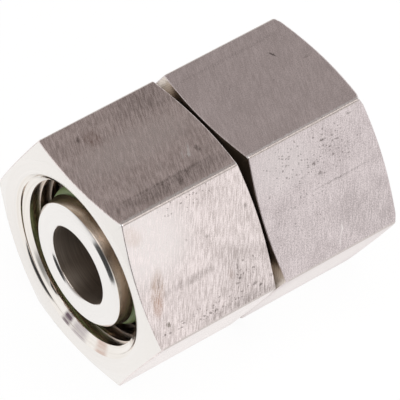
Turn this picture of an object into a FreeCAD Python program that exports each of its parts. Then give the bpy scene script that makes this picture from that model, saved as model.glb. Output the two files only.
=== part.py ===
import FreeCAD, Part
import math
import os

# A straight swivel connector for 15 mm hydraulic tube. Two hexagon union nuts sit back to back and turn freely
# on one double-ended cone nipple, which carries a soft seal ring in a groove near each end. The flow axis lies
# along X, the front end faces -X, and the fitting rests on a hexagon flat with the origin under its middle.
# All sizes are in millimetres. A depth is measured inwards from the open face of a nut.

# Union nut, for an M22 x 1.5 thread
across_flats = 27.0
corner_rounding = 0.3
face_diameter = 26.4
front_bevel_angle = 16.0
back_bevel_angle = 14.5
mouth_diameter = 24.0
countersink_angle = 120.0
thread_diameter = 22.0
back_wall = 3.1

# Cone nipple
flow_bore_diameter = 9.6
flow_bore_edge_break = 0.3
cone_tip_diameter = 15.2
cone_half_angle = 12.0
cone_tip_edge_break = 0.4
collar_diameter = 19.6
collar_land = 0.7
shoulder_angle = 45.0
neck_diameter = 15.0
spigot_wall = 1.3
spigot_length = 4.0

# Seal ring and its groove. The ring's round section is drawn as an octagon round it, with one side on the groove
# floor and one as the crown, because a true round one takes as many facets as both nuts together.
seal_section = 1.95
seal_sides = 8
seal_setback = 2.0
seal_side_play = 0.25
seal_stand_out = 0.25

# Clearances between the pieces
neck_clearance = 0.1
seat_gap = 0.45
nut_gap = 0.3
tip_setback = 0.2
socket_play = 0.2

# Depths along the nipple, from the open face of its nut
cone_slope = math.tan(math.radians(cone_half_angle))
shoulder_slope = math.tan(math.radians(shoulder_angle))
collar_rise = (collar_diameter - cone_tip_diameter) / 2
shoulder_fall = (collar_diameter - neck_diameter) / 2
collar_start = tip_setback + collar_rise / cone_slope
collar_end = collar_start + collar_land
neck_start = collar_end + shoulder_fall / shoulder_slope

# The seal ring's crown stands proud of the cone, and the groove floor touches the ring's inside
groove_width = seal_section + 2 * seal_side_play
groove_start = tip_setback + seal_setback
groove_end = groove_start + groove_width
seal_depth = groove_start + groove_width / 2
seal_crown = cone_tip_diameter / 2 + (seal_depth - tip_setback) * cone_slope + seal_stand_out
seal_centre = seal_crown - seal_section / 2
groove_floor = seal_crown - seal_section

# Depths along the nut: its seat stands off the collar's shoulder by the seat gap
thread_radius = thread_diameter / 2
back_bore_radius = neck_diameter / 2 + neck_clearance
seat_end = neck_start + seat_gap - neck_clearance / shoulder_slope
seat_start = seat_end - (thread_radius - back_bore_radius) / shoulder_slope
countersink_depth = (mouth_diameter / 2 - thread_radius) / math.tan(math.radians(countersink_angle / 2))
nut_length = seat_end + back_wall

# The middle of the fitting, where the two halves of the nipple meet
middle_depth = nut_length + nut_gap / 2
spigot_radius = flow_bore_diameter / 2 + spigot_wall
axis_height = across_flats / 2


def turned(profile):
    """Turn a closed outline of (depth, radius) points round the flow axis."""
    corners = [FreeCAD.Vector(depth, radius, 0) for depth, radius in profile]
    outline = Part.makePolygon(corners + corners[:1])
    return Part.Face(outline).revolve(FreeCAD.Vector(0, 0, 0), FreeCAD.Vector(1, 0, 0), 360)


def hexagon_bar():
    """The nut's bar stock: a hexagonal prism, flats up and down, with its long edges rounded."""
    corner_radius = across_flats / math.sqrt(3)
    corners = []
    for number in range(6):
        angle = math.radians(60 * number)
        corners.append(FreeCAD.Vector(0, corner_radius * math.cos(angle), corner_radius * math.sin(angle)))
    outline = Part.makePolygon(corners + corners[:1])
    bar = Part.Face(outline).extrude(FreeCAD.Vector(nut_length, 0, 0))
    long_edges = [edge for edge in bar.Edges if edge.Vertexes[0].X != edge.Vertexes[-1].X]
    return bar.makeFillet(corner_rounding, long_edges)


def bevelled_envelope():
    """The turned outside of a nut, whose two end bevels leave an arc on each flat."""
    face_radius = face_diameter / 2
    # Any radius beyond the hexagon's corners will do here
    outer_radius = across_flats
    front_bevel = (outer_radius - face_radius) * math.tan(math.radians(front_bevel_angle))
    back_bevel = (outer_radius - face_radius) * math.tan(math.radians(back_bevel_angle))
    return turned([
        (0, 0),
        (0, face_radius),
        (front_bevel, outer_radius),
        (nut_length - back_bevel, outer_radius),
        (nut_length, face_radius),
        (nut_length, 0),
    ])


def nut_bore():
    """The hollow of a nut: countersunk mouth, threaded bore, conical seat and plain back bore."""
    return turned([
        (0, 0),
        (0, mouth_diameter / 2),
        (countersink_depth, thread_radius),
        (seat_start, thread_radius),
        (seat_end, back_bore_radius),
        (nut_length, back_bore_radius),
        (nut_length, 0),
    ])


def union_nut():
    return hexagon_bar().common(bevelled_envelope()).cut(nut_bore())


def cone_outline():
    """The outside of half a nipple, from its tip to the seam: cone, seal groove, collar and neck."""
    tip_radius = cone_tip_diameter / 2
    collar_radius = collar_diameter / 2
    neck_radius = neck_diameter / 2
    return [
        (tip_setback, tip_radius - cone_tip_edge_break),
        (tip_setback + cone_tip_edge_break, tip_radius + cone_tip_edge_break * cone_slope),
        (groove_start, tip_radius + (groove_start - tip_setback) * cone_slope),
        (groove_start, groove_floor),
        (groove_end, groove_floor),
        (groove_end, tip_radius + (groove_end - tip_setback) * cone_slope),
        (collar_start, collar_radius),
        (collar_end, collar_radius),
        (neck_start, neck_radius),
        (middle_depth, neck_radius),
    ]


def bore_mouth():
    """The edge break of the flow bore at the tip."""
    bore_radius = flow_bore_diameter / 2
    return [
        (tip_setback + flow_bore_edge_break, bore_radius),
        (tip_setback, bore_radius + flow_bore_edge_break),
    ]


def spigot_nipple():
    """The half whose reduced spigot is pressed into the other half."""
    spigot_end = middle_depth + spigot_length
    return turned(bore_mouth() + cone_outline() + [
        (middle_depth, spigot_radius),
        (spigot_end, spigot_radius),
        (spigot_end, flow_bore_diameter / 2),
    ])


def socket_nipple():
    """The half whose counterbore takes the spigot."""
    socket_floor = middle_depth - spigot_length - socket_play
    return turned(bore_mouth() + cone_outline() + [
        (middle_depth, spigot_radius),
        (socket_floor, spigot_radius),
        (socket_floor, flow_bore_diameter / 2),
    ])


def seal_ring():
    corner_angle = math.radians(180 / seal_sides)
    corner_radius = seal_section / 2 / math.cos(corner_angle)
    section = []
    for number in range(seal_sides):
        angle = corner_angle * (2 * number + 1)
        section.append((seal_depth + corner_radius * math.sin(angle),
                        seal_centre + corner_radius * math.cos(angle)))
    return turned(section)


def at_front(shape):
    """Put a piece made in depths at the front end, on the flow axis."""
    return shape.translated(FreeCAD.Vector(-middle_depth, 0, axis_height))


def at_rear(shape):
    """The same piece turned end for end, for the rear."""
    flipped = shape.rotated(FreeCAD.Vector(middle_depth, 0, 0), FreeCAD.Vector(0, 0, 1), 180)
    return at_front(flipped)


nodes = {
    "front_union_nut": at_front(union_nut()),
    "rear_union_nut": at_rear(union_nut()),
    "front_cone_nipple": at_front(spigot_nipple()),
    "rear_cone_nipple": at_rear(socket_nipple()),
    "front_seal_ring": at_front(seal_ring()),
    "rear_seal_ring": at_rear(seal_ring()),
}

os.makedirs("parts", exist_ok=True)
for name, shape in nodes.items():
    shape.exportStep("parts/" + name + ".step")
    box = shape.BoundBox
    print(name, "valid" if shape.isValid() else "NOT VALID", len(shape.Solids), "solid,",
          round(shape.Volume, 1), "mm3, x", round(box.XMin, 2), "to", round(box.XMax, 2),
          "z", round(box.ZMin, 2), "to", round(box.ZMax, 2))
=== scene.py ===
import bmesh
import bpy
import math
from mathutils import Matrix, Vector


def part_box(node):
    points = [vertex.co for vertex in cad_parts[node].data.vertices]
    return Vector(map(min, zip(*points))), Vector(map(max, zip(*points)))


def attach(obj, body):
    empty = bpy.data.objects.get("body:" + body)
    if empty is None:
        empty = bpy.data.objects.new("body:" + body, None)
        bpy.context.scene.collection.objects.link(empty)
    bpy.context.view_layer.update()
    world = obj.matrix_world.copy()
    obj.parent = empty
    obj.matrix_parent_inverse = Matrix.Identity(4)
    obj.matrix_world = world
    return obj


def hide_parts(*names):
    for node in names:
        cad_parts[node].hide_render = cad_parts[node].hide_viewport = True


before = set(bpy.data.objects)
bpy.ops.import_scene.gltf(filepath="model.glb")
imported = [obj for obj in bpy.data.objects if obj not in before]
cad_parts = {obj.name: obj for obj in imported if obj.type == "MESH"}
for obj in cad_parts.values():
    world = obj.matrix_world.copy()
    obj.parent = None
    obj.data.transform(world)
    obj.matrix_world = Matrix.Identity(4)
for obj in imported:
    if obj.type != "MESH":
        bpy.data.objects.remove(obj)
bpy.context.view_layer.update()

# The studio. The fitting lies near the edge of a round white table. White walls stand all round under a
# darker ceiling, with one dark doorway beyond the open end, and a large soft lamp hangs overhead. The camera
# looks down with a long lens, from the side of the open end.
MM = 0.001
CAMERA_AZIMUTH = -38.4
CAMERA_ELEVATION = 47.5
CAMERA_ROLL = 2.09
CAMERA_DISTANCE = 501.5 * MM
CAMERA_TARGET = Vector((0.28, -0.07, 13.61)) * MM
LENS = 399.6
SENSOR = 36.0
TABLE_RADIUS = 84.0 * MM
TABLE_MIDDLE = Vector((42.0, 0, 0)) * MM
TABLE_SIDES = 96
TABLE_GLOW = 0.94


def srgb(code):
    """A hex colour, as written for the screen, in the linear values that shaders take."""
    parts = [int(code[place:place + 2], 16) / 255 for place in (0, 2, 4)]
    return tuple(c / 12.92 if c <= 0.04045 else ((c + 0.055) / 1.055) ** 2.4 for c in parts) + (1.0,)


def add(tree, kind, inputs=None, **settings):
    """Add one node with its settings, and set or link its inputs, which are given by name or number."""
    node = tree.nodes.new(kind)
    for name, value in settings.items():
        setattr(node, name, value)
    for key, value in (inputs or {}).items():
        if isinstance(value, bpy.types.NodeSocket):
            tree.links.new(value, node.inputs[key])
        else:
            node.inputs[key].default_value = value
    return node


def new_material(name):
    material = bpy.data.materials.new(name)
    material.use_nodes = True
    material.node_tree.nodes.clear()
    return material, material.node_tree


def seen_directly(tree):
    """1 for what the camera sees, straight or in metal or glass, and 0 for what only lights the object."""
    path = add(tree, "ShaderNodeLightPath")
    either = add(tree, "ShaderNodeMath", {0: path.outputs["Is Camera Ray"], 1: path.outputs["Is Glossy Ray"]},
                 operation="MAXIMUM")
    either = add(tree, "ShaderNodeMath", {0: either.outputs[0], 1: path.outputs["Is Transmission Ray"]},
                 operation="MAXIMUM")
    return either.outputs[0]


# Painted white table top: it shows as white and still takes the soft shadow
white_paint, tree = new_material("white_paint")
paint = add(tree, "ShaderNodeBsdfDiffuse", {"Color": srgb("e6e6e6")})
faint_paint = add(tree, "ShaderNodeBsdfDiffuse", {"Color": srgb("525252")})
glow = add(tree, "ShaderNodeEmission", {"Color": (1, 1, 1, 1), "Strength": TABLE_GLOW})
glowing_paint = add(tree, "ShaderNodeAddShader", {0: faint_paint.outputs[0], 1: glow.outputs[0]})
surface = add(tree, "ShaderNodeMixShader",
              {0: seen_directly(tree), 1: paint.outputs[0], 2: glowing_paint.outputs[0]})
add(tree, "ShaderNodeOutputMaterial", {"Surface": surface.outputs[0]})

bm = bmesh.new()
bmesh.ops.create_circle(bm, cap_ends=True, segments=TABLE_SIDES, radius=TABLE_RADIUS,
                        matrix=Matrix.Translation(TABLE_MIDDLE))
table_mesh = bpy.data.meshes.new("table")
bm.to_mesh(table_mesh)
bm.free()
table = bpy.data.objects.new("table", table_mesh)
table_mesh.materials.append(white_paint)
bpy.context.scene.collection.objects.link(table)

# The room, as seen from the fitting: heights and the doorway's half width and half height are shares of the
# distance. Its walls are white, its ceiling is a warm grey, and the doorway's edge is soft.
WALL_TOP = 0.30
CEILING = 0.58
DOORWAY = (-0.93, -0.28, 0.08)
DOORWAY_SIZE = (1.0, 0.42, 0.42)
DOORWAY_EDGE = (0.85, 1.05)
DOORWAY_LIGHT = 0.04
world = bpy.data.worlds.new("studio")
world.use_nodes = True
tree = world.node_tree
tree.nodes.clear()
direction = add(tree, "ShaderNodeTexCoord")
height = add(tree, "ShaderNodeSeparateXYZ", {0: direction.outputs["Generated"]})
shade = add(tree, "ShaderNodeValToRGB", {0: height.outputs["Z"]})
shade.color_ramp.elements[0].position = WALL_TOP
shade.color_ramp.elements[0].color = srgb("ffffff")
shade.color_ramp.elements[1].position = CEILING
shade.color_ramp.elements[1].color = srgb("938b88")
away = add(tree, "ShaderNodeMapping", {"Vector": direction.outputs["Generated"], "Location": DOORWAY,
                                       "Scale": DOORWAY_SIZE}, vector_type="TEXTURE")
away = add(tree, "ShaderNodeVectorMath", {0: away.outputs[0]}, operation="LENGTH")
doorway = add(tree, "ShaderNodeMapRange", {"Value": away.outputs["Value"], "From Min": DOORWAY_EDGE[0],
                                           "From Max": DOORWAY_EDGE[1], "To Min": DOORWAY_LIGHT,
                                           "To Max": 1.0})
room = add(tree, "ShaderNodeMix", {0: 1.0, 6: shade.outputs[0], 7: doorway.outputs[0]}, data_type="RGBA",
           blend_type="MULTIPLY")
walls = add(tree, "ShaderNodeBackground", {"Color": room.outputs[2], "Strength": 1.0})
add(tree, "ShaderNodeOutputWorld", {"Surface": walls.outputs[0]})
bpy.context.scene.world = world

LAMP_SIZE = 900 * MM
LAMP_POWER = 3.8
LAMP_PLACE = Vector((0, -200, 880)) * MM
LAMP_AIM = Vector((0, 0, 10)) * MM
lamp_data = bpy.data.lights.new("overhead_lamp", "AREA")
lamp_data.shape = "DISK"
lamp_data.size = LAMP_SIZE
lamp_data.energy = LAMP_POWER
lamp = bpy.data.objects.new("overhead_lamp", lamp_data)
lamp.location = LAMP_PLACE
lamp.rotation_euler = (LAMP_PLACE - LAMP_AIM).to_track_quat("Z", "Y").to_euler()
bpy.context.scene.collection.objects.link(lamp)

azimuth = math.radians(CAMERA_AZIMUTH)
elevation = math.radians(CAMERA_ELEVATION)
back = Vector((math.sin(azimuth) * math.cos(elevation), -math.cos(azimuth) * math.cos(elevation),
               math.sin(elevation)))
camera_data = bpy.data.cameras.new("camera")
camera_data.sensor_width = SENSOR
camera_data.lens = LENS
camera_data.clip_start = 0.05
camera_data.clip_end = 20.0
camera = bpy.data.objects.new("camera", camera_data)
camera.location = CAMERA_TARGET + back * CAMERA_DISTANCE
level_camera = back.to_track_quat("Z", "Y").to_matrix()
camera.rotation_euler = (level_camera @ Matrix.Rotation(math.radians(CAMERA_ROLL), 3, "Z")).to_euler()
bpy.context.scene.collection.objects.link(camera)
bpy.context.scene.camera = camera
bpy.context.scene.view_settings.view_transform = "Standard"


# The union nuts. Each is cut from ground hexagon bar of stainless steel and turned at both ends and inside.
# Two bevels cut the hexagon's ends, the edges are lightly broken, and a conical seat inside holds the nipple.
# The corners at the rear nut's open end are worn back, the more the farther out they stand.
AXIS = Vector((0, 0, 13.5)) * MM
ACROSS_FLATS = 27.0 * MM
CORNER_ANGLE = 60
CORNER_CUT = 0.18 * MM
CORNER_STEPS = 6
FLAT_STRIPS = 24
FACE_RADIUS = 13.2 * MM
FRONT_BEVEL = math.tan(math.radians(16.0))
BACK_BEVEL = math.tan(math.radians(14.5))
MOUTH_RADIUS = 12.0 * MM
THREAD_RADIUS = 11.0 * MM
BACK_BORE_RADIUS = 7.6 * MM
COUNTERSINK_SLOPE = math.tan(math.radians(60))
RIM_DEPTH = 0.18 * MM
RIM_RADIUS = 11.46 * MM
SEAT_START = 10.5 * MM
SEAT_END = 13.9 * MM
NUT_LENGTH = 17.0 * MM
HALF_LENGTH = 17.15 * MM
FLAT_EDGE_BREAK = 0.16 * MM
REAR_EDGE_BREAK = 0.22 * MM
WORN_RADIUS = 15.1 * MM
CORNER_WEAR = 1.0
EDGE_BREAK = 0.07 * MM
SHARP_ANGLE = 40
FLAT_STEP = 20.0


def extruded(bm, ring):
    """A new ring drawn out from a ring of edges, as its points and its edges."""
    made = bmesh.ops.extrude_edge_only(bm, edges=ring)["geom"]
    points = {part for part in made if isinstance(part, bmesh.types.BMVert)}
    return points, [edge for edge in bm.edges if edge.verts[0] in points and edge.verts[1] in points]


def break_edges(bm, edges, width):
    bmesh.ops.bevel(bm, geom=edges, offset=width, offset_type="OFFSET", segments=2, profile=0.5,
                    affect="EDGES", material=-1, clamp_overlap=False)


def set_in_place(bm, end):
    """Bring a piece made in depths from the open face to its end of the fitting."""
    place = Matrix.Translation(AXIS - Vector((HALF_LENGTH, 0, 0)))
    if end == "rear":
        place = Matrix.Translation(AXIS + Vector((HALF_LENGTH, 0, 0))) @ Matrix.Rotation(math.pi, 4, "Z")
    bmesh.ops.transform(bm, matrix=place, verts=bm.verts)
    bmesh.ops.recalc_face_normals(bm, faces=bm.faces)


def finish_map(bm):
    """A map in millimetres along and across each flat, and along and in degrees round each turned surface.
    It gives back the faces of the flats and of the corners between them."""
    layer = bm.loops.layers.uv.new("finish")
    flats = set()
    for face in bm.faces:
        middle = face.calc_center_median() - AXIS
        around = math.atan2(middle.z, middle.y)
        outward = Vector((0, math.cos(around), math.sin(around)))
        flat = middle.dot(outward) > FACE_RADIUS and face.normal.dot(outward) > 0.5
        number = math.floor(math.degrees(around) / CORNER_ANGLE)
        turned = math.radians(CORNER_ANGLE * (number + 0.5))
        sideways = Vector((0, -math.sin(turned), math.cos(turned)))
        if flat:
            flats.add(face)
        for loop in face.loops:
            place = loop.vert.co - AXIS
            if flat:
                loop[layer].uv = (place.x / MM, place.dot(sideways) / MM + FLAT_STEP * number)
            else:
                turn = (math.atan2(place.z, place.y) - around + math.pi) % (2 * math.pi) - math.pi
                radius = math.hypot(place.y, place.z)
                loop[layer].uv = ((place.x + radius) / MM, math.degrees(turn + around))
    return flats


def shown(bm, name, body, materials, replaced):
    """Turn a finished bmesh into a piece that rides on a body and stands for its nodes."""
    mesh = bpy.data.meshes.new(name)
    for face in bm.faces:
        face.smooth = True
    bm.to_mesh(mesh)
    bm.free()
    mesh.set_sharp_from_angle(angle=math.radians(SHARP_ANGLE))
    piece = bpy.data.objects.new(name, mesh)
    for material in materials:
        mesh.materials.append(material)
    even_shading = piece.modifiers.new("even_shading", "WEIGHTED_NORMAL")
    even_shading.keep_sharp = True
    bpy.context.scene.collection.objects.link(piece)
    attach(piece, body)
    if replaced:
        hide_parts(*replaced)


# Ground stainless bar: satin, a slightly pink grey, with short parallel grinding lines that lean across the
# flat. Sizes are in millimetres, lines as (length, spacing). The real lines lie closer together and the real
# pits are smaller, which would not show, so both are drawn coarser.
LINE_ANGLE = 113.0
FINE_LINES = (1.4, 0.17)
BROAD_LINES = (2.6, 0.35)
GRAIN_SIZE = 0.14
CLOUD_SIZE = 3.2
WAVER = 0.35
BROAD_SHARE = 0.2
CLOUD_SHARE = 0.18
TONE_RANGE = (0.4, 0.6)
BREAKUP_RANGE = (0.36, 0.56)
BREAKUP_SHARE = (1.5, 0.5)
PIT_LENGTH = 0.42
PIT_WIDTH = 0.26
PIT_LEAN = 15
PIT_START = 0.5
PIT_EDGE = 0.06
PIT_COLOUR = "5d534f"
FEW_PITS = 0.56
ROUGH_SPREAD = 0.05
LINE_DEPTH = 0.01 * MM


def mark_share(tree, place, mark):
    """How far a stain, pit, scratch, painted highlight, painted shade or painted reflection covers each place,
    fading out to nothing at its edge.
    """
    x, s, lean, half_length, half_width, strength = mark
    spot = add(tree, "ShaderNodeMapping", {"Vector": place, "Location": (x, s, 0),
                                           "Rotation": (0, 0, math.radians(lean)),
                                           "Scale": (half_length, half_width, 1.0)}, vector_type="TEXTURE")
    ball = add(tree, "ShaderNodeTexGradient", {"Vector": spot.outputs[0]}, gradient_type="SPHERICAL")
    return add(tree, "ShaderNodeMapRange", {"Value": ball.outputs[1], "From Max": 0.7, "To Max": strength},
               interpolation_type="SMOOTHSTEP").outputs[0]


def ground_stainless(name, light, dark, roughness, speckle, marks, pit_places, pit_share):
    """Satin steel whose stains, scratches, painted highlights and painted reflections gather in its own
    grinding lines.
    """
    material, tree = new_material(name)
    uv = add(tree, "ShaderNodeUVMap", uv_map="finish")
    waver = add(tree, "ShaderNodeTexNoise", {"Vector": uv.outputs[0], "Scale": 2.0, "Detail": 2.0},
                noise_dimensions="2D")
    waver = add(tree, "ShaderNodeVectorMath", {0: waver.outputs["Color"], 1: (0.5, 0.5, 0.5)},
                operation="SUBTRACT")
    place = add(tree, "ShaderNodeVectorMath", {0: waver.outputs[0], 1: (WAVER, WAVER, 0), 2: uv.outputs[0]},
                operation="MULTIPLY_ADD")
    lines = []
    for length, spacing in (FINE_LINES, BROAD_LINES):
        lean = add(tree, "ShaderNodeMapping", {"Vector": uv.outputs[0],
                                               "Rotation": (0, 0, math.radians(LINE_ANGLE)),
                                               "Scale": (length, spacing, 1.0)}, vector_type="TEXTURE")
        noise = add(tree, "ShaderNodeTexNoise", {"Vector": lean.outputs[0], "Scale": 1.0, "Detail": 2.0,
                                                 "Roughness": 0.6}, noise_dimensions="2D")
        lines.append(noise.outputs[0])
    grain = add(tree, "ShaderNodeTexNoise", {"Vector": uv.outputs[0], "Scale": 1 / GRAIN_SIZE, "Detail": 2.0},
                noise_dimensions="2D")
    cloud = add(tree, "ShaderNodeTexNoise", {"Vector": uv.outputs[0], "Scale": 1 / CLOUD_SIZE, "Detail": 4.0,
                                             "Roughness": 0.6}, noise_dimensions="2D")
    blend = add(tree, "ShaderNodeMix", {"Factor": BROAD_SHARE, 2: lines[0], 3: lines[1]})
    blend = add(tree, "ShaderNodeMix", {"Factor": speckle, 2: blend.outputs[0], 3: grain.outputs[0]})
    blend = add(tree, "ShaderNodeMix", {"Factor": CLOUD_SHARE, 2: blend.outputs[0], 3: cloud.outputs[0]})
    tone = add(tree, "ShaderNodeValToRGB", {0: blend.outputs[0]})
    tone.color_ramp.elements[0].position = TONE_RANGE[0]
    tone.color_ramp.elements[0].color = srgb(dark)
    tone.color_ramp.elements[1].position = TONE_RANGE[1]
    tone.color_ramp.elements[1].color = srgb(light)
    colour = tone.outputs[0]
    mark_breakup = add(tree, "ShaderNodeMapRange", {"Value": blend.outputs[0], "From Min": BREAKUP_RANGE[0],
                                            "From Max": BREAKUP_RANGE[1], "To Min": BREAKUP_SHARE[0],
                                            "To Max": BREAKUP_SHARE[1]})
    for mark in marks:
        share = mark_share(tree, place.outputs[0], mark[:6])
        share = add(tree, "ShaderNodeMath", {0: share, 1: mark_breakup.outputs[0]}, operation="MULTIPLY",
                    use_clamp=True).outputs[0]
        colour = add(tree, "ShaderNodeMix", {0: share, 6: colour, 7: srgb(mark[6])},
                     data_type="RGBA").outputs[2]
    spots = add(tree, "ShaderNodeMapping", {"Vector": place.outputs[0],
                                            "Rotation": (0, 0, math.radians(PIT_LEAN)),
                                            "Scale": (PIT_LENGTH, PIT_WIDTH, 1.0)}, vector_type="TEXTURE")
    spots = add(tree, "ShaderNodeTexVoronoi", {"Vector": spots.outputs[0], "Scale": 1.0},
                voronoi_dimensions="2D")
    chance = add(tree, "ShaderNodeSeparateXYZ", {0: spots.outputs["Color"]})
    patches = FEW_PITS
    for mark in pit_places:
        share = mark_share(tree, uv.outputs[0], mark)
        patches = add(tree, "ShaderNodeMath", {0: patches, 1: share}, operation="MAXIMUM").outputs[0]
    size = add(tree, "ShaderNodeMath", {0: chance.outputs[0], 1: patches, 2: -PIT_START},
               operation="MULTIPLY_ADD")
    pits = add(tree, "ShaderNodeMath", {0: size.outputs[0], 1: spots.outputs["Distance"]},
               operation="SUBTRACT")
    pits = add(tree, "ShaderNodeMapRange", {"Value": pits.outputs[0], "From Min": -PIT_EDGE,
                                            "From Max": PIT_EDGE, "To Max": pit_share})
    colour = add(tree, "ShaderNodeMix", {0: pits.outputs[0], 6: colour, 7: srgb(PIT_COLOUR)},
                 data_type="RGBA").outputs[2]
    rough = add(tree, "ShaderNodeMapRange", {"Value": lines[1], "To Min": roughness - ROUGH_SPREAD,
                                             "To Max": roughness + ROUGH_SPREAD})
    bump = add(tree, "ShaderNodeBump", {"Strength": 0.3, "Distance": LINE_DEPTH, "Height": lines[0]})
    steel = add(tree, "ShaderNodeBsdfPrincipled", {"Base Color": colour, "Metallic": 1.0,
                                                   "Roughness": rough.outputs[0], "Normal": bump.outputs[0]})
    add(tree, "ShaderNodeOutputMaterial", {"Surface": steel.outputs[0]})
    return material


# Turned stainless: the tool leaves rings too fine to see, which draw reflections out across themselves. A
# fine cut is bright and smooth, and a rough one is dull and dark. The rings are drawn wider than they are, to
# show. Their spacing is in millimetres and their length in degrees.
RING_SPACING = 0.12
RING_ARC = 60.0
RING_TONES = (0.3, 0.7)
STREAK_RANGE = (0.35, 0.65)
STREAK_SHARE = (0.6, 1.4)
RING_DEPTH = 0.005 * MM


def turned_stainless(name, light, dark, roughness, ring_strength, stretch, marks=()):
    """Bright or dull turned steel whose marks break up into its own rings."""
    material, tree = new_material(name)
    uv = add(tree, "ShaderNodeUVMap", uv_map="finish")
    round_axis = add(tree, "ShaderNodeMapping", {"Vector": uv.outputs[0],
                                                 "Scale": (RING_SPACING, RING_ARC, 1.0)},
                     vector_type="TEXTURE")
    rings = add(tree, "ShaderNodeTexNoise", {"Vector": round_axis.outputs[0], "Scale": 1.0, "Detail": 2.0},
                noise_dimensions="2D")
    tone = add(tree, "ShaderNodeValToRGB", {0: rings.outputs[0]})
    tone.color_ramp.elements[0].position = RING_TONES[0]
    tone.color_ramp.elements[0].color = srgb(dark)
    tone.color_ramp.elements[1].position = RING_TONES[1]
    tone.color_ramp.elements[1].color = srgb(light)
    colour = tone.outputs[0]
    streaks = add(tree, "ShaderNodeMapRange", {"Value": rings.outputs[0], "From Min": STREAK_RANGE[0],
                                               "From Max": STREAK_RANGE[1], "To Min": STREAK_SHARE[0],
                                               "To Max": STREAK_SHARE[1]})
    for mark in marks:
        share = mark_share(tree, uv.outputs[0], mark[:6])
        share = add(tree, "ShaderNodeMath", {0: share, 1: streaks.outputs[0]}, operation="MULTIPLY",
                    use_clamp=True).outputs[0]
        colour = add(tree, "ShaderNodeMix", {0: share, 6: colour, 7: srgb(mark[6])},
                     data_type="RGBA").outputs[2]
    bump = add(tree, "ShaderNodeBump", {"Strength": ring_strength, "Distance": RING_DEPTH,
                                        "Height": rings.outputs[0]})
    across = add(tree, "ShaderNodeTangent", direction_type="UV_MAP", uv_map="finish")
    steel = add(tree, "ShaderNodeBsdfPrincipled", {"Base Color": colour, "Metallic": 1.0,
                                                   "Roughness": roughness, "Anisotropic": stretch,
                                                   "Tangent": across.outputs[0], "Normal": bump.outputs[0]})
    add(tree, "ShaderNodeOutputMaterial", {"Surface": steel.outputs[0]})
    return material


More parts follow.
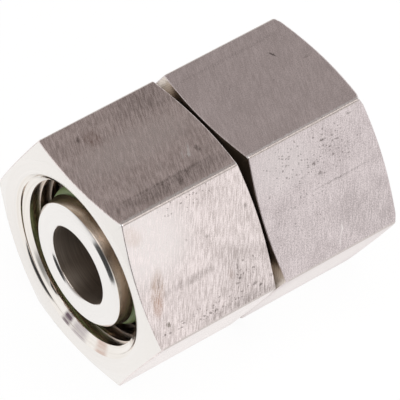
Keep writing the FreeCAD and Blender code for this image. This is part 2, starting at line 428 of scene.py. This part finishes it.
# Stains, scratches and nicks of the front nut, with its lower flat painted lighter as a painted reflection of
# the white table and a painted highlight along its top long edge, in millimetres along the axis from the
# fitting's middle and down across a flat from its middle: (along, down, lean, half length, half width,
# strength, colour).
# TOP, SIDE and LOW are the flats that face up, out to the side and below that.
TOP = FLAT_STEP
SIDE = 2 * FLAT_STEP
LOW = -3 * FLAT_STEP
LIGHT_MARK = "f2ecea"
DARK_MARK = PIT_COLOUR
BROWN_MARK = "a98568"
front_marks = [
    # Painted reflection: the lower flat is painted almost white, for its grazing reflection of the white table
    (-8.6, LOW, 0, 16.0, 14.0, 0.45, "fdf6f2"),
    (-8.5, TOP - 1.0, 0, 11.0, 3.5, 0.4, LIGHT_MARK),
    (-2.5, TOP - 6.0, 0, 7.0, 3.5, 0.22, DARK_MARK),
    (-8.5, TOP + 5.9, 0, 12.0, 1.4, 0.28, DARK_MARK),
    # Painted highlight: a white band along the top flat's long edge
    (-8.5, TOP + 7.6, 0, 30.0, 0.42, 0.9, "ffffff"),
    (-14.5, SIDE - 4.5, 0, 8.0, 7.0, 0.5, "fffaf8"),
    (-2.5, SIDE + 4.5, 0, 8.0, 6.5, 0.16, DARK_MARK),
    (-5.0, SIDE + 7.3, 0, 9.0, 1.0, 0.25, DARK_MARK),
    (-8.5, TOP + 5.15, 0, 9.0, 0.25, 0.3, DARK_MARK),
    (-2.9, TOP + 3.3, 90, 0.8, 0.45, 0.5, DARK_MARK),
    (-7.2, TOP + 5.8, 110, 1.3, 0.5, 0.4, DARK_MARK),
    (-9.3, TOP + 5.9, 100, 1.2, 0.35, 0.4, DARK_MARK),
    (-12.9, TOP - 5.3, 115, 0.7, 0.26, 0.5, DARK_MARK),
    (-11.5, TOP - 4.6, 90, 1.9, 1.4, 0.34, "8c6a5c"),
    (-3.9, TOP + 3.0, 118, 1.3, 0.18, 1.0, "ffffff"),
    (-4.25, TOP + 3.4, 118, 0.8, 0.15, 0.9, "ffffff"),
    (-4.9, TOP + 3.2, 118, 0.9, 0.13, 0.7, "ffffff"),
    (-12.2, TOP + 4.0, 118, 1.2, 0.15, 0.4, LIGHT_MARK),
    (-8.0, TOP + 3.4, 118, 1.5, 0.15, 0.4, LIGHT_MARK),
    (-14.9, SIDE + 1.3, 108, 3.4, 1.2, 0.42, BROWN_MARK),
    (-15.3, SIDE + 2.9, 108, 1.6, 0.8, 0.35, "b07f66"),
    (-14.4, SIDE + 0.4, 108, 1.0, 0.35, 0.35, DARK_MARK),
    (-15.8, SIDE - 6.0, 60, 2.0, 1.4, 0.25, "cbb09c"),
    (-10.4, SIDE + 1.85, 0, 4.6, 0.7, 0.3, "857a76"),
    (-14.75, SIDE + 5.35, 90, 0.42, 0.34, 0.9, "5a5242"),
    (-15.6, SIDE + 6.25, 0, 0.2, 0.16, 0.7, DARK_MARK),
    (-14.9, SIDE + 6.3, 0, 0.25, 0.16, 0.7, DARK_MARK),
    (-13.0, SIDE + 6.05, 0, 0.3, 0.17, 0.6, DARK_MARK),
    (-8.7, SIDE + 6.55, 150, 0.4, 0.22, 0.7, DARK_MARK),
    (-4.7, SIDE + 4.5, 20, 0.35, 0.22, 0.7, DARK_MARK),
    (-5.1, SIDE + 4.95, 0, 0.3, 0.18, 0.6, DARK_MARK),
    (-3.1, SIDE + 5.95, 0, 0.5, 0.2, 0.6, DARK_MARK),
    (-2.4, SIDE + 6.4, 20, 0.35, 0.22, 0.7, DARK_MARK),
    (-0.8, SIDE + 5.95, 0, 0.35, 0.2, 0.7, DARK_MARK),
    (-4.5, SIDE + 3.0, 108, 1.3, 0.2, 0.4, DARK_MARK),
    (-5.6, SIDE + 3.6, 100, 1.0, 0.7, 0.25, "8a6f60"),
    (-1.4, SIDE - 3.0, 90, 0.4, 0.3, 0.35, DARK_MARK),
    (-9.6, SIDE - 2.6, 0, 0.2, 0.2, 0.5, DARK_MARK),
    (-7.0, SIDE - 1.9, 0, 0.4, 0.3, 0.35, DARK_MARK),
]

# The rear nut has fewer stains, a light corner, a few nicks and two fine scratches. Its lower flat is painted
# lighter as a painted reflection of the white table, its top flat a little lighter as a painted sheen, and a
# painted highlight runs along its top long edge.
rear_marks = [
    # Painted reflection: the lower flat is painted almost white, for its grazing reflection of the white table
    (8.6, LOW, 0, 16.0, 14.0, 0.6, "fdf6f2"),
    # Painted sheen: the whole top flat is painted a little lighter
    (8.6, TOP, 0, 20.0, 18.0, 0.16, "fbf2ee"),
    # Painted highlight: a white band along the top flat's long edge
    (8.6, TOP + 7.65, 0, 30.0, 0.38, 0.9, "ffffff"),
    (4.0, SIDE - 5.0, 0, 7.0, 4.0, 0.25, LIGHT_MARK),
    (14.0, SIDE + 5.0, 0, 7.0, 5.0, 0.1, DARK_MARK),
    (12.55, TOP - 3.35, 70, 0.75, 0.22, 0.75, "4c4340"),
    (15.4, TOP - 0.9, 0, 0.7, 0.25, 0.4, DARK_MARK),
    (8.0, TOP - 5.8, 0, 10.0, 0.4, 0.14, DARK_MARK),
    (5.4, TOP - 1.8, 0, 0.15, 0.15, 0.6, DARK_MARK),
    (5.6, TOP - 1.7, 0, 0.2, 0.14, 0.5, LIGHT_MARK),
    (10.25, SIDE - 5.55, 8, 0.55, 0.2, 0.85, DARK_MARK),
    (14.4, SIDE - 6.95, 0, 0.5, 0.2, 0.7, DARK_MARK),
    (12.0, SIDE - 4.85, 10, 0.4, 0.17, 0.6, DARK_MARK),
    (11.0, SIDE - 4.45, 10, 0.4, 0.17, 0.5, DARK_MARK),
    (8.25, SIDE - 3.4, 10, 0.4, 0.22, 0.7, DARK_MARK),
    (8.75, SIDE - 2.1, 0, 0.5, 0.3, 0.5, DARK_MARK),
    (4.9, SIDE - 4.8, 0, 0.25, 0.2, 0.5, DARK_MARK),
    (1.8, SIDE - 2.3, 0, 0.25, 0.2, 0.6, DARK_MARK),
    (4.4, SIDE + 0.2, 0, 0.3, 0.22, 0.5, DARK_MARK),
    (11.0, SIDE - 0.55, 0, 5.5, 0.18, 0.35, DARK_MARK),
    (9.4, SIDE + 5.2, 110, 1.1, 0.13, 0.9, LIGHT_MARK),
    (8.8, SIDE + 6.4, 110, 1.2, 0.12, 0.6, LIGHT_MARK),
]

# Where the pits lie thickest, in the same terms: towards the long edges of the front nut, and over most of
# the rear nut's side and top
front_pits = [
    (-8.5, SIDE + 6.1, 0, 12.0, 1.7, 0.95),
    (-3.5, SIDE + 3.6, 0, 4.0, 2.5, 0.9),
    (-8.0, SIDE - 7.0, 0, 8.0, 3.0, 0.85),
    (-8.5, TOP + 5.5, 0, 9.0, 1.5, 0.85),
]
rear_pits = [
    (8.5, SIDE - 4.5, 0, 14.0, 7.0, 0.85),
    (5.0, SIDE + 1.5, 0, 11.0, 8.0, 0.75),
    (9.0, TOP - 2.0, 0, 10.0, 7.0, 0.62),
]

# The front nut is the brighter and more lined of the two. The rear one is greyer, duller and more speckled.
front_flats = ground_stainless("ground_stainless_front", "f7ebe9", "cabebb", 0.27, 0.3,
                               front_marks, front_pits, 0.55)
rear_flats = ground_stainless("ground_stainless_rear", "e7dcdc", "bdb2b2", 0.36, 0.6,
                              rear_marks, rear_pits, 0.5)

# Finish-turned end face: nearly white, with a soft gloss. Parted-off back: dull, and painted a dark brown as
# shade in the narrow gap between the nuts, darker still on the bevels, which carry painted light towards every
# second corner. Drawn corner of the bar: a plain grey, with no lines.
nut_faces = turned_stainless("fine_turned_nut_face", "f1ede9", "eeeae6", 0.25, 0.05, 0.6)
# Painted shade: the back and its bevels are painted dark brown, for the shade in the narrow gap between the
# nuts
nut_backs = turned_stainless("dull_nut_back_painted_shade", "9c8f82", "857769", 0.34, 0.3, 0.6)
# Painted light: the bevels are painted lighter towards every second corner
painted_corner_light = [(15.5, corner, 0, 30.0, 9.0, 0.8, "e4dad0") for corner in (-180, -60, 60, 180)]
back_bevels = turned_stainless("back_bevel_painted_light_and_shade", "8c8074", "796d62", 0.34, 0.3, 0.6, painted_corner_light)
bar_corners = turned_stainless("drawn_bar_corner", "dad1cd", "c9c0bc", 0.4, 0.1, 0.3)

# Lathe-cut thread: a warm bright steel that mirrors its own ridges. Countersink: almost a mirror, with a few
# dark, pink and grey bands painted on as reflections of the room, in the same terms as the flats' marks but in
# degrees round the axis.
nut_inside = turned_stainless("cut_thread_stainless", "dccdc0", "c9baad", 0.18, 0.1, 0.5)
# Painted reflections: dark purple, grey and pink bands on the countersink's mirror
painted_countersink_reflections = [
    (-5.9, -80, 0, 3.0, 5.0, 0.85, "6b5b63"),
    (-5.9, -92, 0, 3.0, 10.0, 0.6, "a3989c"),
    (-5.9, -115, 0, 3.0, 8.5, 0.5, "c09a8a"),
    (-5.9, 48, 0, 3.0, 14.0, 0.3, "8d8886"),
]
countersink_finish = turned_stainless("fine_turned_countersink", "f4efe9", "ebe5de", 0.11, 0.05, 0.6,
                                      painted_countersink_reflections)

# Which finish each face takes goes by where it lies and, at a corner of the bar, by which way it faces
FLAT, FACE, BACK, INSIDE, COUNTERSINK, BEVEL, CORNER = range(7)
BACK_REACH = 1.2 * MM
COUNTERSINK_REACH = 0.7 * MM
THREAD_MARGIN = 0.03 * MM
CORNER_REACH = 28
for end, flats in (("front", front_flats), ("rear", rear_flats)):
    bm = bmesh.new()

    # A hexagon with rounded corners, its flats divided finely so that the bevels cut true arcs
    bmesh.ops.create_circle(bm, cap_ends=True, segments=6, radius=ACROSS_FLATS / math.sqrt(3))
    bmesh.ops.bevel(bm, geom=bm.verts[:], offset=CORNER_CUT, offset_type="OFFSET", segments=CORNER_STEPS,
                    profile=0.5, affect="VERTICES", material=-1, clamp_overlap=False)
    bmesh.ops.delete(bm, geom=bm.faces[:], context="FACES_ONLY")
    bmesh.ops.subdivide_edges(bm, edges=[edge for edge in bm.edges if edge.calc_length() > MM],
                              cuts=FLAT_STRIPS - 1)
    bmesh.ops.rotate(bm, verts=bm.verts, cent=(0, 0, 0), matrix=Matrix.Rotation(math.radians(90), 3, "Y"))
    front_ring = bm.edges[:]
    for vert in bm.verts:
        radius = math.hypot(vert.co.y, vert.co.z)
        vert.co.x = (radius - FACE_RADIUS) * FRONT_BEVEL
        if end == "rear" and radius > WORN_RADIUS:
            vert.co.x += (radius - WORN_RADIUS) ** 2 * CORNER_WEAR / MM

    # The flats are drawn along the nut, and the ends, the bore and the mouth follow ring by ring
    points, back_ring = extruded(bm, front_ring)
    for vert in points:
        vert.co.x = NUT_LENGTH - (math.hypot(vert.co.y, vert.co.z) - FACE_RADIUS) * BACK_BEVEL
    ring = back_ring
    turned_rings = []
    countersink_depth = RIM_DEPTH + (RIM_RADIUS - THREAD_RADIUS) / COUNTERSINK_SLOPE
    for depth, radius in ((NUT_LENGTH, FACE_RADIUS), (NUT_LENGTH, BACK_BORE_RADIUS),
                          (SEAT_END, BACK_BORE_RADIUS), (SEAT_START, THREAD_RADIUS),
                          (countersink_depth, THREAD_RADIUS), (RIM_DEPTH, RIM_RADIUS), (0, MOUTH_RADIUS),
                          (0, FACE_RADIUS)):
        points, ring = extruded(bm, ring)
        turned_rings += ring
        for vert in points:
            share = radius / math.hypot(vert.co.y, vert.co.z)
            vert.co = (depth, vert.co.y * share, vert.co.z * share)
    bmesh.ops.bridge_loops(bm, edges=ring + front_ring)
    break_edges(bm, turned_rings, EDGE_BREAK)
    break_edges(bm, front_ring, REAR_EDGE_BREAK if end == "rear" else FLAT_EDGE_BREAK)
    break_edges(bm, back_ring, FLAT_EDGE_BREAK)
    set_in_place(bm, end)
    flat_faces = finish_map(bm)
    for face in bm.faces:
        middle = face.calc_center_median() - AXIS
        radius = math.hypot(middle.y, middle.z)
        around = math.degrees(math.atan2(face.normal.z, face.normal.y))
        off_corner = abs((around - CORNER_ANGLE / 2) % CORNER_ANGLE - CORNER_ANGLE / 2)
        at_corner = abs(face.normal.x) < 0.05 and off_corner < CORNER_REACH
        if face in flat_faces:
            face.material_index = CORNER if at_corner else FLAT
        elif abs(middle.x) < BACK_REACH:
            face.material_index = BACK if radius < FACE_RADIUS else BEVEL
        elif radius < THREAD_RADIUS + THREAD_MARGIN:
            face.material_index = INSIDE
        elif radius < RIM_RADIUS and abs(middle.x) > HALF_LENGTH - COUNTERSINK_REACH:
            face.material_index = COUNTERSINK
        else:
            face.material_index = FACE
    shown(bm, end + "_nut", end + "_nut",
          [flats, nut_faces, nut_backs, nut_inside, countersink_finish, back_bevels, bar_corners],
          [end + "_union_nut"])


# The nuts' threads, M22 x 1.5, cut into the steel on the lathe: right-handed ridges of 60 degrees with flat
# crests. They start in the mouth's flat countersink, which cuts the first turn away on a slant, and run out
# short of the conical seat.
PITCH = 1.5 * MM
RIDGE_HEIGHT = 0.812 * MM
CREST_WIDTH = PITCH / 4
ROOT_WIDTH = PITCH / 8
FIRST_CREST = 1.33 * MM
EMERGING = -0.08 * MM
THREAD_STEPS = 96
THREAD_TURNS = 6
RUN_OUT_TURNS = 0.3
SUNK = 0.05 * MM
HIDDEN_DEPTH = 0.3 * MM
FIRST_TURN = 1.5 * MM
SMALLEST = 0.0002 * MM
for end in ("front", "rear"):
    base = (PITCH - ROOT_WIDTH) / 2
    crest = CREST_WIDTH / 2
    rising = [(-base, -SUNK)]
    for share in (0.0, 0.25, 0.5, 0.75, 1.0):
        rising.append(((base - crest) * share - base, RIDGE_HEIGHT * share))
    rising += [(-crest * 0.67, RIDGE_HEIGHT), (-crest * 0.33, RIDGE_HEIGHT)]
    outline = rising + [(0, RIDGE_HEIGHT)] + [(-along, height) for along, height in reversed(rising)]
    start_turn = (EMERGING - FIRST_CREST) / PITCH
    bm = bmesh.new()
    ring = [bm.verts.new((EMERGING + along, THREAD_RADIUS - height, 0)) for along, height in outline]
    edges = [bm.edges.new(pair) for pair in zip(ring, ring[1:] + ring[:1])]
    bmesh.ops.rotate(bm, verts=ring, cent=(0, 0, 0),
                     matrix=Matrix.Rotation(math.radians(360) * start_turn, 3, "X"))
    bmesh.ops.spin(bm, geom=ring + edges, cent=(0, 0, 0), axis=(1, 0, 0), dvec=(PITCH / THREAD_STEPS, 0, 0),
                   angle=math.radians(360) * THREAD_TURNS, steps=THREAD_STEPS * THREAD_TURNS, use_merge=False,
                   use_normal_flip=False, use_duplicate=False)
    bmesh.ops.holes_fill(bm, edges=bm.edges, sides=len(outline))

    # Each point keeps the ridge's height, apart from the last part turn, where the height falls to nothing,
    # and the countersink, which cuts the ridge away. What is cut away lies hidden just under the steel.
    last_turn = start_turn + THREAD_TURNS
    for vert in bm.verts:
        angle = math.atan2(vert.co.z, vert.co.y) / math.radians(360)
        turn = angle + round((vert.co.x - FIRST_CREST) / PITCH - angle)
        radius = math.hypot(vert.co.y, vert.co.z)
        height = (THREAD_RADIUS - radius) * min((last_turn - turn) / RUN_OUT_TURNS, 1)
        depth = max(vert.co.x, HIDDEN_DEPTH)
        countersink = RIM_RADIUS - (depth - RIM_DEPTH) * COUNTERSINK_SLOPE
        wanted = max(THREAD_RADIUS - height, countersink)
        if wanted > THREAD_RADIUS - 0.001 * MM:
            wanted = max(countersink, THREAD_RADIUS) + SUNK
        vert.co = (depth, vert.co.y * wanted / radius, vert.co.z * wanted / radius)
    bmesh.ops.remove_doubles(bm, verts=bm.verts, dist=SMALLEST)
    bmesh.ops.dissolve_degenerate(bm, dist=SMALLEST, edges=bm.edges)
    set_in_place(bm, end)
    finish_map(bm)
    for face in bm.faces:
        depth = HALF_LENGTH - abs(face.calc_center_median().x)
        if depth < FIRST_TURN and abs(face.normal.x) > 0.8:
            face.material_index = 1
    shown(bm, end + "_thread", end + "_nut", [nut_inside, countersink_finish], [])


# The nipple, turned from stainless bar in two halves that are pressed together at the neck. The collar behind
# each cone holds a nut on. An outline gives the depth from the nut's open face and the radius: bore mouth,
# tip, cone with its groove, collar and neck, and then one half's spigot or the other's socket.
BORE_RADIUS = 4.8 * MM
BORE_BREAK = 0.3 * MM
TIP_START = 0.2 * MM
TIP_RADIUS = 7.6 * MM
TIP_BREAK = 0.4 * MM
TIP_DEPTH = 0.9 * MM
CONE_SLOPE = math.tan(math.radians(12))
GROOVE_START = 2.2 * MM
GROOVE_END = 4.65 * MM
GROOVE_FLOOR = 6.586 * MM
COLLAR_START = 10.55 * MM
COLLAR_END = 11.25 * MM
COLLAR_RADIUS = 9.8 * MM
NECK_START = 13.55 * MM
NECK_RADIUS = 7.5 * MM
JOIN_RADIUS = 6.1 * MM
SPIGOT_END = 21.15 * MM
SOCKET_FLOOR = 12.95 * MM
TURN_STEPS = 144
TURNED_CORNER = 10
BORE_MARGIN = 0.1 * MM


def cone_radius(depth):
    return TIP_RADIUS + (depth - TIP_START) * CONE_SLOPE


half_nipple = [
    (TIP_START + BORE_BREAK, BORE_RADIUS),
    (TIP_START, BORE_RADIUS + BORE_BREAK),
    (TIP_START, TIP_RADIUS - TIP_BREAK),
    (TIP_START + TIP_BREAK, cone_radius(TIP_START + TIP_BREAK)),
    (GROOVE_START, cone_radius(GROOVE_START)),
    (GROOVE_START, GROOVE_FLOOR),
    (GROOVE_END, GROOVE_FLOOR),
    (GROOVE_END, cone_radius(GROOVE_END)),
    (COLLAR_START, COLLAR_RADIUS),
    (COLLAR_END, COLLAR_RADIUS),
    (NECK_START, NECK_RADIUS),
    (HALF_LENGTH, NECK_RADIUS),
    (HALF_LENGTH, JOIN_RADIUS),
]
spigot = [(SPIGOT_END, JOIN_RADIUS), (SPIGOT_END, BORE_RADIUS)]
socket = [(SOCKET_FLOOR, JOIN_RADIUS), (SOCKET_FLOOR, BORE_RADIUS)]

# Finish-turned tip: nearly white and glossy. Turned cone: warmer, with two bright and two brown streaks
# painted on as reflections and broken up by its rings. Drilled bore: dull, dark and deeply ringed.
tip_finish = turned_stainless("fine_turned_tip", "f1eeeb", "eeebe8", 0.18, 0.05, 0.6)
# Painted reflections: two bright and two brown streaks across the cone
painted_cone_reflections = [
    (-8.2, 113, 0, 4.0, 9.0, 0.7, "fff8f0"),
    (-8.2, 134, 0, 4.0, 17.0, 0.4, "8d7a6c"),
    (-8.2, 88, 0, 4.0, 17.0, 0.3, "94806f"),
    (-8.2, 156, 0, 4.0, 8.0, 0.5, "fff8f0"),
]
cone_finish = turned_stainless("turned_cone_stainless", "eae1d6", "dbd0c2", 0.18, 0.15, 0.8, painted_cone_reflections)
bore_finish = turned_stainless("drilled_bore", "b5a99d", "9c9085", 0.45, 0.8, 0.5)

TIP, CONE, BORE = range(3)
for end, join in (("front", spigot), ("rear", socket)):
    bm = bmesh.new()
    ring = [bm.verts.new((depth, radius, 0)) for depth, radius in half_nipple + join]
    edges = [bm.edges.new(pair) for pair in zip(ring, ring[1:] + ring[:1])]
    bmesh.ops.spin(bm, geom=ring + edges, cent=(0, 0, 0), axis=(1, 0, 0), dvec=(0, 0, 0),
                   angle=math.radians(360), steps=TURN_STEPS, use_merge=True, use_normal_flip=False,
                   use_duplicate=False)
    corners = [edge for edge in bm.edges if edge.calc_face_angle() > math.radians(TURNED_CORNER)]
    break_edges(bm, corners, EDGE_BREAK)
    set_in_place(bm, end)
    finish_map(bm)
    for face in bm.faces:
        middle = face.calc_center_median() - AXIS
        radius = math.hypot(face.verts[0].co.y, face.verts[0].co.z - AXIS.z)
        if abs(face.normal.x) < 0.1 and radius < BORE_RADIUS + BORE_MARGIN:
            face.material_index = BORE
        elif abs(middle.x) > HALF_LENGTH - TIP_DEPTH and abs(face.normal.x) > 0.4:
            face.material_index = TIP
        else:
            face.material_index = CONE
    shown(bm, end + "_nipple", "nipple", [tip_finish, cone_finish, bore_finish],
          [end + "_cone_nipple"])


# The seal rings: round cords of green fluorocarbon rubber, moulded in one piece and stretched into the groove
# of each cone, where they stand a little proud of it.
MOTTLE_SIZE = 0.6 * MM
RING_SIDES = 32
RING_STEPS = 120

# Moulded rubber: a soft mid green with a low sheen, and a faint mottle where a bloom has come to the surface
green_rubber, tree = new_material("green_rubber")
place = add(tree, "ShaderNodeTexCoord")
mottle = add(tree, "ShaderNodeTexNoise", {"Vector": place.outputs["Object"], "Scale": 1 / MOTTLE_SIZE,
                                          "Detail": 3.0})
tone = add(tree, "ShaderNodeMix", {0: mottle.outputs[0], 6: srgb("a7bd88"), 7: srgb("94ab76")},
           data_type="RGBA")
bloom = add(tree, "ShaderNodeMapRange", {"Value": mottle.outputs[0], "To Min": 0.36, "To Max": 0.56})
rubber = add(tree, "ShaderNodeBsdfPrincipled", {"Base Color": tone.outputs[2],
                                                "Roughness": bloom.outputs[0]})
add(tree, "ShaderNodeOutputMaterial", {"Surface": rubber.outputs[0]})

for end in ("front", "rear"):
    low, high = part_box(end + "_seal_ring")
    section = (high.x - low.x) / 2
    bm = bmesh.new()
    circle = bmesh.ops.create_circle(bm, segments=RING_SIDES, radius=section)
    bmesh.ops.translate(bm, verts=circle["verts"], vec=(0, (high.y - low.y) / 2 - section, 0))
    bmesh.ops.spin(bm, geom=bm.verts[:] + bm.edges[:], cent=(0, 0, 0), axis=(1, 0, 0), dvec=(0, 0, 0),
                   angle=math.radians(360), steps=RING_STEPS, use_merge=True, use_normal_flip=False,
                   use_duplicate=False)
    bmesh.ops.translate(bm, verts=bm.verts, vec=AXIS + Vector(((low.x + high.x) / 2, 0, 0)))
    bmesh.ops.recalc_face_normals(bm, faces=bm.faces)
    shown(bm, end + "_o_ring", "nipple", [green_rubber], [end + "_seal_ring"])
